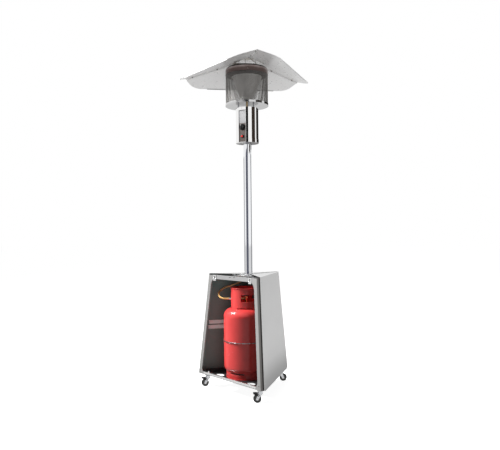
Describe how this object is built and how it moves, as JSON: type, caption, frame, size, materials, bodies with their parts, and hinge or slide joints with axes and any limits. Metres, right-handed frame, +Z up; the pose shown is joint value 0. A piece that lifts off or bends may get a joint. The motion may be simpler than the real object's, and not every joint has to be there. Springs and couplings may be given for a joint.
{
  "type": "gas patio heater",
  "caption": "Gas patio heater: triangular cabinet on casters with a gas cylinder, a pole, a round mesh emitter and a triangular pyramid reflector.",
  "frame": {"origin": "on the floor under the wheels, on the pole's axis", "axes": "+Z up along the pole, -Y out of the cabinet's open front, +X to the right seen from the front"},
  "size_m": [0.8924, 0.8275, 2.1848],
  "materials": {
    "black_steel": "satin black paint",
    "bright_steel": "bright bare sheet steel",
    "satin_stainless": "satin stainless sheet",
    "grey_steel": "dull grey folded sheet",
    "zinc": "bright zinc plate",
    "polished_pole": "polished tube",
    "polished_stainless": "polished stainless sheet",
    "reflector_steel": "satin polished sheet",
    "screen_steel": "perforated sheet, slightly heat tinted",
    "tinted_steel": "sheet with brown heat tint",
    "burner_steel": "matt heat-resistant sheet",
    "panel_dark": "recessed sheet, dark reflections",
    "brass": "machined brass",
    "black_plastic": "moulded black plastic",
    "red_plastic": "moulded red plastic",
    "red_enamel": "gloss red enamel",
    "hose_rubber": "orange-brown rubber hose",
    "chain_steel": "small steel links",
    "wheel_rubber": "black rubber tread on a grey hub"
  },
  "bodies": {
    "root": {"base_plate": "black_steel", "lower_front_rail": "bright_steel", "left_panel": "satin_stainless", "right_panel": "satin_stainless", "front_post_left": "grey_steel", "front_post_right": "grey_steel", "back_post": "grey_steel", "upper_front_rail": "bright_steel", "door_hooks": "bright_steel", "wall_bars": "bright_steel", "cabinet_screws": "zinc", "top_spider": "black_steel", "pole_mount_plate": "bright_steel", "pole_flange": "bright_steel", "pole_bolts": "zinc", "pole": "polished_pole", "riser_pipe": "brass", "housing_bottom_plate": "grey_steel", "control_housing": "polished_stainless", "access_cover": "polished_stainless", "control_panel": "panel_dark", "gas_valve": "brass", "igniter_body": "black_plastic", "tilt_switch": "black_plastic", "pilot_burner": "zinc", "burner_tray": "polished_stainless", "housing_standoffs": "zinc", "burner_head": "burner_steel", "injector_tube": "brass", "emitter_screen": "screen_steel", "emitter_cap": "tinted_steel", "head_screws": "zinc", "reflector_studs": "zinc", "reflector_hub": "reflector_steel", "reflector_panel_front": "reflector_steel", "reflector_panel_right": "reflector_steel", "reflector_panel_back": "reflector_steel", "wing_nuts": "zinc", "gas_cylinder": "red_enamel", "cylinder_collar": "red_enamel", "cylinder_valve": "brass", "regulator": "zinc", "gas_hose": "hose_rubber", "safety_chain": "chain_steel", "caster_plates": "zinc"},
    "valve_stem": {"valve_stem": "zinc"},
    "control_knob": {"control_knob": "black_plastic"},
    "igniter_button": {"igniter_button": "red_plastic"},
    "valve_handwheel": {"valve_handwheel": "black_plastic"},
    "caster_fork_left": {"caster_fork_left": "zinc", "caster_axle_left": "zinc"},
    "caster_fork_right": {"caster_fork_right": "zinc", "caster_axle_right": "zinc"},
    "caster_fork_back": {"caster_fork_back": "zinc", "caster_axle_back": "zinc"},
    "caster_wheel_left": {"caster_wheel_left": "wheel_rubber"},
    "caster_wheel_right": {"caster_wheel_right": "wheel_rubber"},
    "caster_wheel_back": {"caster_wheel_back": "wheel_rubber"},
    "brake_lever_left": {"brake_lever_left": "black_plastic"},
    "brake_lever_right": {"brake_lever_right": "black_plastic"}
  },
  "joints": [
    {"name": "caster_swivel_left", "type": "hinge", "parent": "root", "child": "caster_fork_left", "pos_m": [-0.25634, -0.148, 0.07], "axis": [0, 0, 1], "continuous": true},
    {"name": "wheel_spin_left", "type": "hinge", "parent": "caster_fork_left", "child": "caster_wheel_left", "pos_m": [-0.26534, -0.16359, 0.025], "axis": [0.866, -0.5, 0], "continuous": true},
    {"name": "caster_swivel_right", "type": "hinge", "parent": "root", "child": "caster_fork_right", "pos_m": [0.25634, -0.148, 0.07], "axis": [0, 0, 1], "continuous": true},
    {"name": "wheel_spin_right", "type": "hinge", "parent": "caster_fork_right", "child": "caster_wheel_right", "pos_m": [0.24407, -0.16116, 0.025], "axis": [0.7314, -0.682, 0], "continuous": true},
    {"name": "caster_swivel_back", "type": "hinge", "parent": "root", "child": "caster_fork_back", "pos_m": [0, 0.296, 0.07], "axis": [0, 0, 1], "continuous": true},
    {"name": "wheel_spin_back", "type": "hinge", "parent": "caster_fork_back", "child": "caster_wheel_back", "pos_m": [0.01379, 0.30757, 0.025], "axis": [-0.6428, 0.766, 0], "continuous": true},
    {"name": "brake_press_left", "type": "hinge", "parent": "caster_fork_left", "child": "brake_lever_left", "pos_m": [-0.26134, -0.15666, 0.047], "axis": [0.866, -0.5, 0], "range_deg": [0, 12]},
    {"name": "brake_press_right", "type": "hinge", "parent": "caster_fork_right", "child": "brake_lever_right", "pos_m": [0.24952, -0.15531, 0.047], "axis": [0.7314, -0.682, 0], "range_deg": [0, 12]},
    {"name": "knob_push", "type": "slide", "parent": "root", "child": "valve_stem", "axis": [-0.342, 0.9397, 0], "range_m": [0, 0.003], "stiffness_N_per_m": 1500, "springref_m": -0.001},
    {"name": "knob_turn", "type": "hinge", "parent": "valve_stem", "child": "control_knob", "pos_m": [0.02565, -0.07048, 1.7295], "axis": [0.342, -0.9397, 0], "range_deg": [0, 180]},
    {"name": "igniter_press", "type": "slide", "parent": "root", "child": "igniter_button", "axis": [-0.342, 0.9397, 0], "range_m": [0, 0.006], "stiffness_N_per_m": 1200, "springref_m": -0.001},
    {"name": "handwheel_turn", "type": "hinge", "parent": "root", "child": "valve_handwheel", "pos_m": [-0.0173, -0.01, 0.627], "axis": [0, 0, 1], "range_deg": [0, 630]}
  ]
}
